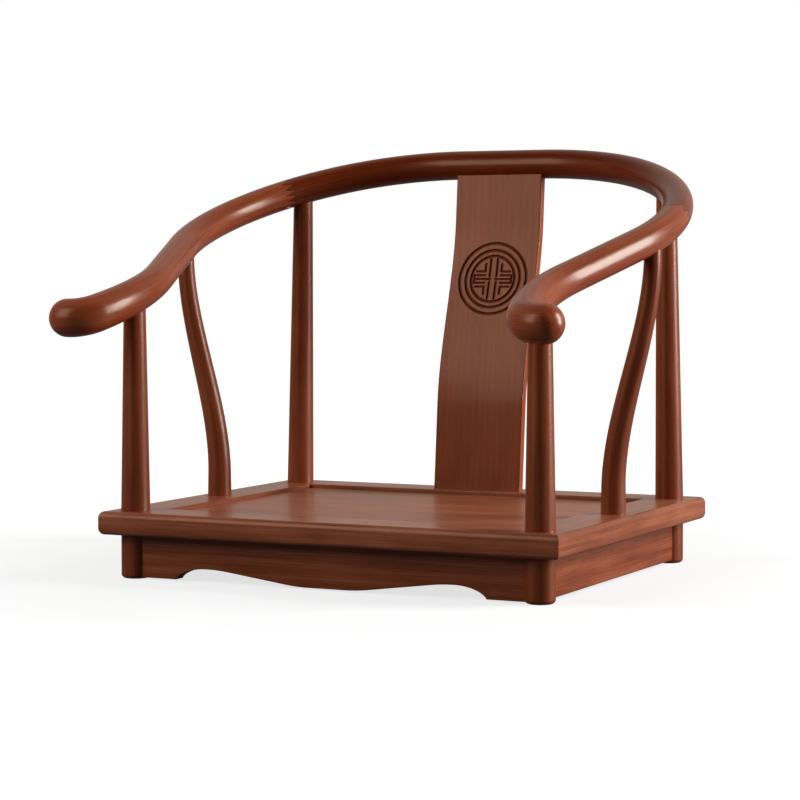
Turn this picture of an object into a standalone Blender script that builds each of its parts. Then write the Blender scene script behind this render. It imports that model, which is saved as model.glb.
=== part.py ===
"""Horseshoe-back floor chair: a low seat frame on four through posts, under a three-piece crest rail.

Lengths are metres and +Z is up. Places are measured from the floor under the middle of the seat, with
the sitter facing -Y. One empty then carries the whole chair, so that its origin lies under the middle
of its outline.
"""

import math

import bmesh
import bpy
from mathutils import Matrix, Vector

# Fits between pieces
GAP = 0.0003  # between faces that touch
GROOVE_ROOM = 0.001  # behind the panel's tongue, for the wood to move
FINGER_GAP = 0.0006  # along the rail between the two halves of a finger joint

# Seat frame and panel
SEAT_WIDTH = 0.595
SEAT_DEPTH = 0.487
SEAT_TOP = 0.081
FRAME_THICKNESS = 0.028
FRAME_RAIL_WIDTH = 0.061
NOSING = 0.006  # how far the rounded outer edge stands out
NOSING_ROUND = 0.008  # height of the rounding above and below its flat face
LIP_CHAMFER = 0.001
PANEL_RECESS = 0.005
PANEL_THICKNESS = 0.014
TONGUE_THICKNESS = 0.006
TONGUE_LENGTH = 0.008
TONGUE_DROP = 0.004  # from the panel's top to the tongue's top

# Battens under the panel
BATTEN_SPACING = 0.240
BATTEN_WIDTH = 0.036
BATTEN_HEIGHT = 0.014
KEY_HEIGHT = 0.004
KEY_NECK = 0.020
KEY_WIDTH = 0.026
BATTEN_TENON_LENGTH = 0.014
BATTEN_TENON_WIDTH = 0.026
BATTEN_TENON_THICKNESS = 0.0055
BATTEN_TENON_DROP = 0.001  # from the panel's underside to the tenon's top

# Dowels across the mitres, inboard of the posts
DOWEL_RADIUS = 0.003
DOWEL_LENGTH = 0.024
DOWEL_INSET = 0.0075  # from both edges of the seat opening

# Corner posts, each in one piece from the floor to the crest rail
POST_RADIUS = 0.0175
FRONT_POST_TOP_RADIUS = 0.0130
BACK_POST_TOP_RADIUS = 0.0125
POST_SIDE_INSET = 0.0343
FRONT_POST_INSET = 0.0305
BACK_POST_INSET = 0.0394
FRONT_POST_OUTSET = 0.002  # how far a post's top lies outside the rail's middle line
BACK_POST_OUTSET = 0.0055
LEG_CORNER = 0.0170  # half side of the leg's square inner corner, which carries the frame
FOOT_ROUND = 0.0050
POST_TENON_RADIUS = 0.007
POST_TENON_LENGTH = 0.022

# Curved posts under the arms
SIDE_POST_BASE_RADIUS = 0.015
SIDE_POST_TOP_RADIUS = 0.010
SIDE_POST_INSET = 0.0290
SIDE_POST_Y = -0.0035
SIDE_POST_OUTSET = 0.005
SIDE_BEND_START = 0.030  # height above the seat at which the outward bend starts
SIDE_TOP_STRAIGHT = 0.020  # upright stretch above the bend, up to the rail's middle line
SIDE_BASE_TENON_RADIUS = 0.009
SIDE_BASE_TENON_LENGTH = 0.018
SIDE_TOP_TENON_RADIUS = 0.006
SIDE_TOP_TENON_LENGTH = 0.020

# Crest rail: runs of its half plan, from the middle of the back to the tip of a grip
BACK_HALF = 0.057
CROWN_RADIUS = 0.296
CROWN_TURN = math.radians(21.0)
BOW_RADIUS = 0.238
BOW_TURN = math.radians(86.0)
ARM_LENGTH = 0.1235
SWEEP_RADIUS = 0.2005
SWEEP_TURN = math.radians(38.5)
HOOK_RADIUS = 0.028
HOOK_TURN = math.radians(73.0)
SEAT_TO_BACK = 0.2835  # from the middle of the seat to the rail's middle line at the back
RAIL_RISE = 0.3253  # from the seat's top to the rail's middle line, beside the middle of the seat
RAIL_SLOPE = 0.313  # climb of the rail towards the back
CROWN_LIFT = 0.0106  # extra climb at the middle of the back
RAIL_RADIUS = 0.0190
GRIP_RADIUS = 0.0228
SWELL_LENGTH = 0.190  # over which the rail thickens into a grip
GRIP_DOME = 0.022

# Finger joints of the crest rail, measured along it from the middle of the back
LEFT_JOINT = 0.305
RIGHT_JOINT = 0.420
FINGER_LENGTH = 0.012
FINGER_PITCH = 0.0075
FINGER_TIP = 0.0008

# Splat
SPLAT_WIDTH = 0.122
SPLAT_THICKNESS = 0.012
SPLAT_CHAMFER = 0.001
SPLAT_INSET = 0.0405  # from the seat's back edge to the splat's middle
SPLAT_SETBACK = 0.006  # from the rail's middle line forward to the splat's middle
SPLAT_BEND = 0.0375  # depth of the bend that makes the splat S-shaped
SPLAT_BEND_START = 0.110  # heights above the seat
SPLAT_BEND_END = 0.350
SPLAT_SHOULDER = 0.013
SPLAT_TENON_THICKNESS = 0.006
SPLAT_TENON_LENGTH = 0.012

# Aprons between the legs
APRON_THICKNESS = 0.016
APRON_SETBACK = 0.008  # behind the front of the legs
FRONT_APRON_CLEARANCE = 0.002  # above the floor
SIDE_APRON_CLEARANCE = 0.0045
APRON_TONGUE_HEIGHT = 0.005
APRON_TONGUE_THICKNESS = 0.006
APRON_TONGUE_STOP = 0.006  # from the leg to the tongue's end
APRON_TENON_THICKNESS = 0.007
APRON_TENON_LENGTH = 0.0135
APRON_TENON_MARGIN = 0.010  # below the frame, and above the floor
CUSP_FOOT = 0.044  # flat foot beside each leg
CUSP_RUN = 0.040  # from the foot's edge to the top of the cusp
CUSP_HEIGHT = 0.0141
CUSP_EASE = 1.35  # above 1, the cusp leaves the foot less steeply
FALL_EASE = 0.22  # share of the fall from cusp to belly that bends, at either end
BELLY_WIDTH = 0.0474  # lowest stretch in the middle of the front apron

# Facets
POST_SIDES = 20
RAIL_SIDES = 20
DOWEL_SIDES = 12
RAIL_STEP = 0.032
RAIL_TURN_STEP = math.radians(6.5)
RAIL_MERGE = 0.004  # rings nearer than this to a cut end are left out
RAIL_PROBE = 0.0005  # to either side of a station, to find the rail's direction there
RAIL_HALVINGS = 40
DOME_ANGLES = (20.0, 40.0, 58.0, 74.0, 84.0)
SHARP_ANGLE = math.radians(35.0)
NOSING_STEPS = 3
CUSP_STEPS = 6
FALL_STEPS = 8
SIDE_POST_STEPS = 14
SIDE_POST_PROBE = 0.01  # share of the height to either side, to find the post's direction
SPLAT_STEPS = 14
OVERLAP = 0.004  # how far a tenon starts inside its own piece
COPE_REACH = 3.0  # post radii cut to the rail's round, to either side of the post

# Places worked out from the sizes above
FRAME_BOTTOM = SEAT_TOP - FRAME_THICKNESS
PANEL_TOP = SEAT_TOP - PANEL_RECESS
PANEL_BOTTOM = PANEL_TOP - PANEL_THICKNESS
TONGUE_TOP = PANEL_TOP - TONGUE_DROP
TONGUE_BOTTOM = TONGUE_TOP - TONGUE_THICKNESS
GROOVE_BOTTOM = TONGUE_BOTTOM - GAP
OPENING_X = SEAT_WIDTH / 2 - FRAME_RAIL_WIDTH
OPENING_Y = SEAT_DEPTH / 2 - FRAME_RAIL_WIDTH
POST_X = SEAT_WIDTH / 2 - POST_SIDE_INSET
FRONT_POST_Y = FRONT_POST_INSET - SEAT_DEPTH / 2
BACK_POST_Y = SEAT_DEPTH / 2 - BACK_POST_INSET
SIDE_POST_X = SEAT_WIDTH / 2 - SIDE_POST_INSET
SPLAT_Y = SEAT_DEPTH / 2 - SPLAT_INSET
CUSP_FALL = POST_X - POST_RADIUS - CUSP_FOOT - CUSP_RUN - BELLY_WIDTH / 2  # from the cusp to the belly
RAIL_RUNS = (
    (BACK_HALF, 0.0),
    (CROWN_RADIUS * CROWN_TURN, CROWN_TURN),
    (BOW_RADIUS * BOW_TURN, BOW_TURN),
    (ARM_LENGTH, 0.0),
    (SWEEP_RADIUS * SWEEP_TURN, -SWEEP_TURN),
    (HOOK_RADIUS * HOOK_TURN, -HOOK_TURN),
)
RAIL_HALF = sum(length for length, turn in RAIL_RUNS)
SIDES = {"left": -1, "right": 1}
ENDS = {
    "front": {"y": FRONT_POST_Y, "top_radius": FRONT_POST_TOP_RADIUS, "outset": FRONT_POST_OUTSET},
    "back": {"y": BACK_POST_Y, "top_radius": BACK_POST_TOP_RADIUS, "outset": BACK_POST_OUTSET},
}
UP = Vector((0, 0, 1))
WOOD = (0.165, 0.050, 0.026, 1.0)
WOOD_HIDDEN = (0.230, 0.110, 0.060, 1.0)
WOOD_ROUGHNESS = 0.32


# Modelling helpers


def smooth_step(share):
    share = min(max(share, 0.0), 1.0)
    return share * share * (3.0 - 2.0 * share)


def eased(share, ease):
    """A straight climb from 0 to 1, bent level over this share of it at either end."""
    steepness = 1 / (1 - ease)
    if share > 0.5:
        return 1 - eased(1 - share, ease)
    if share > ease:
        return steepness * (share - ease / 2)
    return steepness * share * share / (2 * ease)


def loft(name, rings):
    """A closed solid through rings of equal count, with flat ends."""
    bm = bmesh.new()
    loops = [[bm.verts.new(point) for point in ring] for ring in rings]
    count = len(loops[0])
    for low, high in zip(loops, loops[1:]):
        for i in range(count):
            j = (i + 1) % count
            bm.faces.new((low[i], low[j], high[j], high[i]))
    bm.faces.new(loops[0])
    bm.faces.new(loops[-1])
    bmesh.ops.recalc_face_normals(bm, faces=bm.faces)
    mesh = bpy.data.meshes.new(name)
    bm.to_mesh(mesh)
    bm.free()
    piece = bpy.data.objects.new(name, mesh)
    bpy.context.scene.collection.objects.link(piece)
    return piece


def block(name, low, high):
    """A box between two corners."""
    x0, y0, z0 = low
    x1, y1, z1 = high
    plan = ((x0, y0), (x1, y0), (x1, y1), (x0, y1))
    return loft(name, [[(x, y, z) for x, y in plan] for z in (z0, z1)])


def ring(centre, along, across, radius, sides):
    """Points of a circle square to a direction, the first one lying towards another direction."""
    first = (across - along * across.dot(along)).normalized()
    second = along.cross(first)
    turns = [2 * math.pi * i / sides for i in range(sides)]
    return [centre + radius * (first * math.cos(a) + second * math.sin(a)) for a in turns]


def rod(name, start, end, radius, sides):
    """A straight round bar."""
    along = (end - start).normalized()
    across = Vector((1, 0, 0)) if abs(along.z) > abs(along.x) else UP
    return loft(name, [ring(point, along, across, radius, sides) for point in (start, end)])


def combine(piece, tool, operation):
    """Joins a tool to a piece or cuts it out, and removes the tool."""
    modifier = piece.modifiers.new(operation, "BOOLEAN")
    modifier.operation = operation
    modifier.solver = "EXACT"
    modifier.object = tool
    view = bpy.context.evaluated_depsgraph_get()
    before = piece.data
    piece.data = bpy.data.meshes.new_from_object(piece.evaluated_get(view))
    piece.modifiers.clear()
    bpy.data.meshes.remove(before)
    bpy.data.objects.remove(tool)


def join(piece, tool):
    combine(piece, tool, "UNION")


def cut(piece, tool):
    combine(piece, tool, "DIFFERENCE")


def finish(piece, carrier, colour=WOOD):
    """Gives a finished piece its own material and smooth shading, and hangs it on the chair."""
    material = bpy.data.materials.new(piece.name)
    material.use_nodes = True
    shader = material.node_tree.nodes["Principled BSDF"]
    shader.inputs["Base Color"].default_value = colour
    shader.inputs["Roughness"].default_value = WOOD_ROUGHNESS
    shader.inputs["Metallic"].default_value = 0.0
    piece.data.name = piece.name
    piece.data.materials.clear()
    piece.data.materials.append(material)
    piece.data.shade_smooth()
    piece.data.set_sharp_from_angle(angle=SHARP_ANGLE)
    piece.parent = carrier


# Line of the crest rail


def rail_plan(distance):
    """Place in plan at a distance along the right half of the rail."""
    x, y, heading = 0.0, SEAT_TO_BACK, 0.0
    for length, turn in RAIL_RUNS:
        run = min(distance, length)
        bend = turn * run / length
        chord = run * math.sin(bend / 2) / (bend / 2) if bend else run
        x += chord * math.cos(heading + bend / 2)
        y -= chord * math.sin(heading + bend / 2)
        heading += bend
        distance -= run
    return x, y


def rail_centre(station):
    """Middle of the rail at a station, which is negative on the left."""
    x, y = rail_plan(abs(station))
    lift = CROWN_LIFT * (max(y, 0.0) / SEAT_TO_BACK) ** 2
    return Vector((math.copysign(x, station), y, SEAT_TOP + RAIL_RISE + RAIL_SLOPE * y + lift))


def rail_along(station):
    ahead = rail_centre(min(station + RAIL_PROBE, RAIL_HALF))
    behind = rail_centre(max(station - RAIL_PROBE, -RAIL_HALF))
    return (ahead - behind).normalized()


def rail_ring(station, grow=0.0):
    swell = smooth_step((abs(station) - RAIL_HALF + SWELL_LENGTH) / SWELL_LENGTH)
    radius = RAIL_RADIUS + (GRIP_RADIUS - RAIL_RADIUS) * swell + grow
    along = rail_along(station)
    return ring(rail_centre(station), along, along.cross(UP), radius, RAIL_SIDES)


def rail_stations(start, end):
    """Stations of the rail's rings between two ends, closer together where it bends."""
    half = [0.0]
    for length, turn in RAIL_RUNS:
        count = max(math.ceil(length / RAIL_STEP), math.ceil(abs(turn) / RAIL_TURN_STEP))
        half += [half[-1] + length * i / count for i in range(1, count + 1)]
    every = [-station for station in half[:0:-1]] + half
    inner = [station for station in every if start + RAIL_MERGE < station < end - RAIL_MERGE]
    return [start, *inner, end]


def rail_stretch(name, start, end, grow=0.0):
    return loft(name, [rail_ring(station, grow) for station in rail_stations(start, end)])


def station_at(y):
    """Station of the right half above a line across the chair, found by halving."""
    near, far = 0.0, RAIL_HALF - HOOK_RADIUS * HOOK_TURN
    for _ in range(RAIL_HALVINGS):
        middle = (near + far) / 2
        if rail_plan(middle)[1] > y:
            near = middle
        else:
            far = middle
    return near


def post_top(side, y, outset):
    """Where the middle of a post meets the level of the rail's middle line."""
    return rail_centre(side * station_at(y)) + Vector((side * outset, 0, 0))


# Crest rail


def finger_block(name, station, facing, shift):
    """A block whose toothed face lies across the rail, covering the rail on one side of it."""
    along = rail_along(station)
    across = along.cross(UP).normalized()
    up = across.cross(along)
    centre = rail_centre(station) + along * shift
    half = math.ceil(2 * RAIL_RADIUS / FINGER_PITCH) * FINGER_PITCH
    teeth = round(4 * half / FINGER_PITCH)
    outline = []
    for i in range(teeth + 1):
        height = -half + i * FINGER_PITCH / 2
        reach = FINGER_LENGTH / 2 if i % 2 else -FINGER_LENGTH / 2
        outline.append((reach, height - FINGER_TIP / 2))
        outline.append((reach, height + FINGER_TIP / 2))
    far = facing * half
    outline += [(far, half + FINGER_TIP), (far, -half - FINGER_TIP)]
    near_side = [centre + along * a + up * u - across * half for a, u in outline]
    return loft(name, [near_side, [point + across * 2 * half for point in near_side]])


def grip_rings(side):
    """Rings of the domed end of a grip."""
    tip = side * RAIL_HALF
    along = rail_along(tip) * side
    centre = rail_centre(tip)
    spokes = [point - centre for point in rail_ring(tip)]
    rings = []
    for angle in DOME_ANGLES:
        a = math.radians(angle)
        middle = centre + along * GRIP_DOME * math.sin(a)
        rings.append([middle + spoke * math.cos(a) for spoke in spokes])
    return rings


def crest_back(carrier):
    back = rail_stretch("crest_rail_back", -LEFT_JOINT - FINGER_LENGTH, RIGHT_JOINT + FINGER_LENGTH)
    cut(back, finger_block("teeth", RIGHT_JOINT, 1, 0.0))
    cut(back, finger_block("teeth", -LEFT_JOINT, -1, 0.0))
    for side in SIDES.values():
        cut(back, post_tenon("mortise", side, "back", GAP))
    cut(back, splat_top_tenon("mortise", GAP))
    finish(back, carrier)
    return back


def crest_arm(word, side, carrier):
    joint = RIGHT_JOINT if side > 0 else LEFT_JOINT
    stations = rail_stations(joint - FINGER_LENGTH, RAIL_HALF)
    rings = [rail_ring(side * station) for station in stations]
    arm = loft(f"crest_rail_{word}_arm", rings + grip_rings(side))
    cut(arm, finger_block("teeth", side * joint, -side, side * FINGER_GAP))
    cut(arm, post_tenon("mortise", side, "front", GAP))
    cut(arm, side_top_tenon("mortise", side, GAP))
    finish(arm, carrier)
    return arm


# Corner posts


def post_tenon(name, side, end, grow):
    """Round tenon on a corner post's top, set in line with the post."""
    y = ENDS[end]["y"]
    top = post_top(side, y, ENDS[end]["outset"])
    along = (top - Vector((side * POST_X, y, SEAT_TOP))).normalized()
    start = top - along * (RAIL_RADIUS + OVERLAP)
    tip = start + along * (POST_TENON_LENGTH + OVERLAP + grow)
    return rod(name, start, tip, POST_TENON_RADIUS + grow, POST_SIDES)


def leg_corner(name, side, y, grow):
    """Square inner corner of a leg, from the rounded foot to the frame's underside."""
    inward_x = -side * (LEG_CORNER + grow)
    inward_y = math.copysign(LEG_CORNER + grow, -y)
    xs = sorted((side * POST_X, side * POST_X + inward_x))
    ys = sorted((y, y + inward_y))
    return block(name, (xs[0], ys[0], FOOT_ROUND), (xs[1], ys[1], FRAME_BOTTOM - GAP))


def corner_post(end, word, side, carrier):
    y = ENDS[end]["y"]
    top = post_top(side, y, ENDS[end]["outset"])
    top_radius = ENDS[end]["top_radius"]
    foot = Vector((side * POST_X, y, 0))
    slope = FOOT_ROUND * (1 - math.sqrt(0.5))
    levels = (
        (foot, POST_RADIUS - FOOT_ROUND),
        (foot + UP * slope, POST_RADIUS - slope),
        (foot + UP * FOOT_ROUND, POST_RADIUS),
        (foot + UP * SEAT_TOP, POST_RADIUS),
        (top, top_radius),
    )
    across = Vector((1, 0, 0))
    post = loft(f"{end}_post_{word}", [ring(c, UP, across, r, POST_SIDES) for c, r in levels])
    station = side * station_at(y)
    reach = COPE_REACH * top_radius
    cut(post, rail_stretch("cope", station - reach, station + reach, GAP))
    join(post, post_tenon("tenon", side, end, 0.0))
    join(post, leg_corner("corner", side, y, 0.0))
    for apron in APRONS:
        for leg in APRONS[apron]["legs"]:
            if leg == (side * POST_X, y):
                cut(post, apron_tenon("mortise", apron, leg, GAP))
    finish(post, carrier)


# Curved posts under the arms


def side_post_level(side, share):
    """Middle of a curved post at a share of its height."""
    base = Vector((side * SIDE_POST_X, SIDE_POST_Y, SEAT_TOP + GAP))
    top = post_top(side, SIDE_POST_Y, SIDE_POST_OUTSET)
    whole = top.z - base.z
    height = whole * share
    bend = smooth_step((height - SIDE_BEND_START) / (whole - SIDE_BEND_START - SIDE_TOP_STRAIGHT))
    return Vector((base.x + (top.x - base.x) * bend, base.y + (top.y - base.y) * share, base.z + height))


def side_top_tenon(name, side, grow):
    top = side_post_level(side, 1.0)
    along = (top - side_post_level(side, 1.0 - SIDE_POST_PROBE)).normalized()
    start = top - along * (RAIL_RADIUS + OVERLAP)
    end = start + along * (SIDE_TOP_TENON_LENGTH + OVERLAP + grow)
    return rod(name, start, end, SIDE_TOP_TENON_RADIUS + grow, POST_SIDES)


def side_base_tenon(name, side, grow):
    base = side_post_level(side, 0.0)
    end = base - UP * (SIDE_BASE_TENON_LENGTH + grow)
    return rod(name, end, base + UP * OVERLAP, SIDE_BASE_TENON_RADIUS + grow, POST_SIDES)


def side_post(word, side, carrier):
    shares = [i / SIDE_POST_STEPS for i in range(SIDE_POST_STEPS + 1)]
    rings = []
    for share in shares:
        radius = SIDE_POST_BASE_RADIUS + (SIDE_POST_TOP_RADIUS - SIDE_POST_BASE_RADIUS) * share
        ahead = side_post_level(side, min(share + SIDE_POST_PROBE, 1.0))
        behind = side_post_level(side, max(share - SIDE_POST_PROBE, 0.0))
        along = (ahead - behind).normalized() if share else UP
        rings.append(ring(side_post_level(side, share), along, Vector((1, 0, 0)), radius, POST_SIDES))
    post = loft(f"side_post_{word}", rings)
    station = side * station_at(SIDE_POST_Y)
    reach = COPE_REACH * SIDE_POST_TOP_RADIUS
    cut(post, rail_stretch("cope", station - reach, station + reach, GAP))
    join(post, side_top_tenon("tenon", side, 0.0))
    join(post, side_base_tenon("tenon", side, 0.0))
    finish(post, carrier)


# Splat


def splat_level(height):
    """Middle of the splat at a height above the seat, and its slope towards the back."""
    top = rail_centre(0.0)
    lean = (top.y - SPLAT_SETBACK - SPLAT_Y - SPLAT_BEND) / (top.z - SEAT_TOP)
    span = SPLAT_BEND_END - SPLAT_BEND_START
    share = min(max((height - SPLAT_BEND_START) / span, 0.0), 1.0)
    slope = lean + SPLAT_BEND * 6 * share * (1 - share) / span
    return SPLAT_Y + lean * height + SPLAT_BEND * smooth_step(share), slope


def splat_section(height):
    """Outline of the splat at a height, with its long edges taken off."""
    y, slope = splat_level(height)
    half_x = SPLAT_WIDTH / 2
    half_y = SPLAT_THICKNESS / 2 * math.hypot(1, slope)
    corner = SPLAT_CHAMFER
    quarter = ((half_x - corner, half_y), (half_x, half_y - corner))
    outline = [(a, b) for a, b in quarter] + [(a, -b) for a, b in quarter[::-1]]
    outline += [(-a, -b) for a, b in quarter] + [(-a, b) for a, b in quarter[::-1]]
    return [Vector((a, y + b, SEAT_TOP + GAP + height)) for a, b in outline]


def splat_tenon(name, y, low, high, grow):
    half_x = SPLAT_WIDTH / 2 - SPLAT_SHOULDER + grow
    half_y = SPLAT_TENON_THICKNESS / 2 + grow
    return block(name, (-half_x, y - half_y, low), (half_x, y + half_y, high))


def splat_base_tenon(name, grow):
    low = SEAT_TOP - SPLAT_TENON_LENGTH - grow
    return splat_tenon(name, SPLAT_Y, low, SEAT_TOP + GAP + OVERLAP, grow)


def splat_top_tenon(name, grow):
    top = rail_centre(0.0)
    shoulder = top.z - RAIL_RADIUS
    high = shoulder + SPLAT_TENON_LENGTH + grow
    return splat_tenon(name, top.y - SPLAT_SETBACK, shoulder - OVERLAP, high, grow)


def back_splat(carrier):
    height = rail_centre(0.0).z - SEAT_TOP - GAP
    heights = [height * i / SPLAT_STEPS for i in range(SPLAT_STEPS + 1)]
    splat = loft("back_splat", [splat_section(h) for h in heights])
    cut(splat, rail_stretch("cope", -SPLAT_WIDTH, SPLAT_WIDTH, GAP))
    join(splat, splat_base_tenon("tenon", 0.0))
    join(splat, splat_top_tenon("tenon", 0.0))
    finish(splat, carrier)


# Aprons

APRONS = {
    "front_apron": {
        "legs": ((-POST_X, FRONT_POST_Y), (POST_X, FRONT_POST_Y)),
        "outward": Vector((0, -1, 0)),
        "cusped": True,
    },
    "back_apron": {
        "legs": ((POST_X, BACK_POST_Y), (-POST_X, BACK_POST_Y)),
        "outward": Vector((0, 1, 0)),
        "cusped": False,
    },
    "left_apron": {
        "legs": ((-POST_X, BACK_POST_Y), (-POST_X, FRONT_POST_Y)),
        "outward": Vector((-1, 0, 0)),
        "cusped": False,
    },
    "right_apron": {
        "legs": ((POST_X, FRONT_POST_Y), (POST_X, BACK_POST_Y)),
        "outward": Vector((1, 0, 0)),
        "cusped": False,
    },
}


def apron_slab(name, apron, leg, outline, thickness):
    """An outline along an apron and up, given the thickness, in the middle of that apron."""
    plan = APRONS[apron]
    start = Vector((*leg, 0))
    others = [Vector((*other, 0)) for other in plan["legs"] if other != leg]
    along = (others[0] - start).normalized()
    middle = POST_RADIUS - APRON_SETBACK - APRON_THICKNESS / 2
    rings = [
        [start + along * a + plan["outward"] * (middle + offset) + UP * z for a, z in outline]
        for offset in (-thickness / 2, thickness / 2)
    ]
    return loft(name, rings)


def apron_tenon(name, apron, leg, grow):
    """Tenon of an apron in one of its legs."""
    tip = POST_RADIUS - APRON_TENON_LENGTH - grow
    root = POST_RADIUS + OVERLAP
    low = APRON_TENON_MARGIN - grow
    high = FRAME_BOTTOM - APRON_TENON_MARGIN + grow
    outline = ((tip, low), (root, low), (root, high), (tip, high))
    return apron_slab(name, apron, leg, outline, APRON_TENON_THICKNESS + 2 * grow)


def apron_tongue(name, apron, grow):
    """Tongue along an apron's top edge, in the groove under its seat rail."""
    first, second = APRONS[apron]["legs"]
    length = (Vector(second) - Vector(first)).length
    start = POST_RADIUS + APRON_TONGUE_STOP - grow
    low = FRAME_BOTTOM - OVERLAP
    high = FRAME_BOTTOM + APRON_TONGUE_HEIGHT + grow
    outline = ((start, low), (length - start, low), (length - start, high), (start, high))
    return apron_slab(name, apron, first, outline, APRON_TONGUE_THICKNESS + 2 * grow)


def cusp_edge(length):
    """Lower edge of the front apron between its feet: a cusp beside each foot, and a belly between them."""
    foot = POST_RADIUS + CUSP_FOOT
    half = []
    for i in range(CUSP_STEPS + 1):
        a = math.pi / 2 * i / CUSP_STEPS
        rise = CUSP_HEIGHT * math.sin(a) ** CUSP_EASE
        half.append((foot + CUSP_RUN * (1 - math.cos(a)), FRONT_APRON_CLEARANCE + rise))
    for i in range(1, FALL_STEPS + 1):
        share = i / FALL_STEPS
        rise = CUSP_HEIGHT * (1 - eased(share, FALL_EASE))
        half.append((foot + CUSP_RUN + CUSP_FALL * share, FRONT_APRON_CLEARANCE + rise))
    return half + [(length - a, z) for a, z in half[::-1]]


def apron_piece(apron, carrier):
    first, second = APRONS[apron]["legs"]
    length = (Vector(second) - Vector(first)).length
    cusped = APRONS[apron]["cusped"]
    low = FRONT_APRON_CLEARANCE if cusped else SIDE_APRON_CLEARANCE
    edge = cusp_edge(length) if cusped else []
    top = FRAME_BOTTOM - GAP
    outline = [(0, low), *edge, (length, low), (length, top), (0, top)]
    piece = apron_slab(apron, apron, first, outline, APRON_THICKNESS)
    for x, y in (first, second):
        side = math.copysign(1, x)
        foot = Vector((x, y, 0))
        cut(piece, rod("cope", foot - UP * GAP, foot + UP * SEAT_TOP, POST_RADIUS + GAP, POST_SIDES))
        cut(piece, leg_corner("cope", side, y, GAP))
        join(piece, apron_tenon("tenon", apron, (x, y), 0.0))
    join(piece, apron_tongue("tongue", apron, 0.0))
    finish(piece, carrier)


# Seat frame, panel, battens and dowels


def frame_profile():
    """Section of a seat rail: distance outward from the seat opening, and height."""
    flat = FRAME_RAIL_WIDTH - NOSING
    turns = [math.pi / 2 * i / NOSING_STEPS for i in range(NOSING_STEPS + 1)]
    rounds = [(flat + NOSING * math.sin(a), NOSING_ROUND * (1 - math.cos(a))) for a in turns]
    edge = [(d, SEAT_TOP - fall) for d, fall in rounds]
    edge += [(d, FRAME_BOTTOM + rise) for d, rise in rounds[::-1]]
    groove = TONGUE_LENGTH + GROOVE_ROOM
    return [
        (0, SEAT_TOP - LIP_CHAMFER),
        (LIP_CHAMFER, SEAT_TOP),
        *edge,
        (0, FRAME_BOTTOM),
        (0, GROOVE_BOTTOM),
        (groove, GROOVE_BOTTOM),
        (groove, TONGUE_TOP + GAP),
        (0, TONGUE_TOP + GAP),
    ]


def seat_rail(name, opening, distance, turn):
    """A mitred rail along the front of an opening of this half length, turned to its own side."""
    setback = GAP / math.sqrt(2)
    place = Matrix.Rotation(turn, 4, "Z")
    rings = [
        [place @ Vector((end * (opening + d - setback), -distance - d, z)) for d, z in frame_profile()]
        for end in (-1, 1)
    ]
    return loft(name, rings)


def post_hole(side, y):
    low = Vector((side * POST_X, y, FRAME_BOTTOM - OVERLAP))
    high = Vector((side * POST_X, y, SEAT_TOP + OVERLAP))
    return rod("hole", low, high, POST_RADIUS + GAP, POST_SIDES)


def dowel_rod(name, side, end, grow):
    """A dowel square to the mitre at one corner, below the panel's groove."""
    out_x = side
    out_y = -1 if end == "front" else 1
    middle = Vector(
        (
            out_x * (OPENING_X + DOWEL_INSET),
            out_y * (OPENING_Y + DOWEL_INSET),
            (FRAME_BOTTOM + GROOVE_BOTTOM) / 2,
        )
    )
    half = Vector((out_x, -out_y, 0)).normalized() * (DOWEL_LENGTH / 2 + grow)
    return rod(name, middle - half, middle + half, DOWEL_RADIUS + grow, DOWEL_SIDES)


def batten_tenons(name, x, end, grow):
    """Tenon of a batten in the front rail or the back rail."""
    out_y = -1 if end == "front" else 1
    half = BATTEN_TENON_WIDTH / 2 + grow
    ys = sorted((out_y * (OPENING_Y - OVERLAP), out_y * (OPENING_Y + BATTEN_TENON_LENGTH + grow)))
    high = PANEL_BOTTOM - BATTEN_TENON_DROP + grow
    low = high - BATTEN_TENON_THICKNESS - 2 * grow
    return block(name, (x - half, ys[0], low), (x + half, ys[1], high))


def seat_frame(carrier):
    quarter = math.pi / 2
    cross_rails = {"front": 0.0, "back": 2 * quarter}
    for end, turn in cross_rails.items():
        rail = seat_rail(f"seat_{end}_rail", OPENING_X, OPENING_Y, turn)
        cut(rail, apron_tongue("groove", f"{end}_apron", GAP))
        for side in SIDES.values():
            cut(rail, post_hole(side, ENDS[end]["y"]))
            cut(rail, dowel_rod("hole", side, end, GAP))
            cut(rail, batten_tenons("mortise", side * BATTEN_SPACING / 2, end, GAP))
        if end == "back":
            cut(rail, splat_base_tenon("mortise", GAP))
        finish(rail, carrier)
    for word, side in SIDES.items():
        rail = seat_rail(f"seat_{word}_rail", OPENING_Y, OPENING_X, side * quarter)
        cut(rail, apron_tongue("groove", f"{word}_apron", GAP))
        cut(rail, side_base_tenon("mortise", side, GAP))
        for end in ENDS:
            cut(rail, post_hole(side, ENDS[end]["y"]))
            cut(rail, dowel_rod("hole", side, end, GAP))
        finish(rail, carrier)


def batten_key(name, x, reach, grow):
    """Dovetail key along a batten, in the panel's underside."""
    low = PANEL_BOTTOM - OVERLAP
    high = PANEL_BOTTOM + KEY_HEIGHT + grow
    neck = KEY_NECK / 2 + grow
    head = KEY_WIDTH / 2 + grow
    right = ((neck, low), (neck, PANEL_BOTTOM), (head, high))
    section = [*right, *((-a, z) for a, z in right[::-1])]
    return loft(name, [[Vector((x + a, y, z)) for a, z in section] for y in (-reach, reach)])


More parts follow.
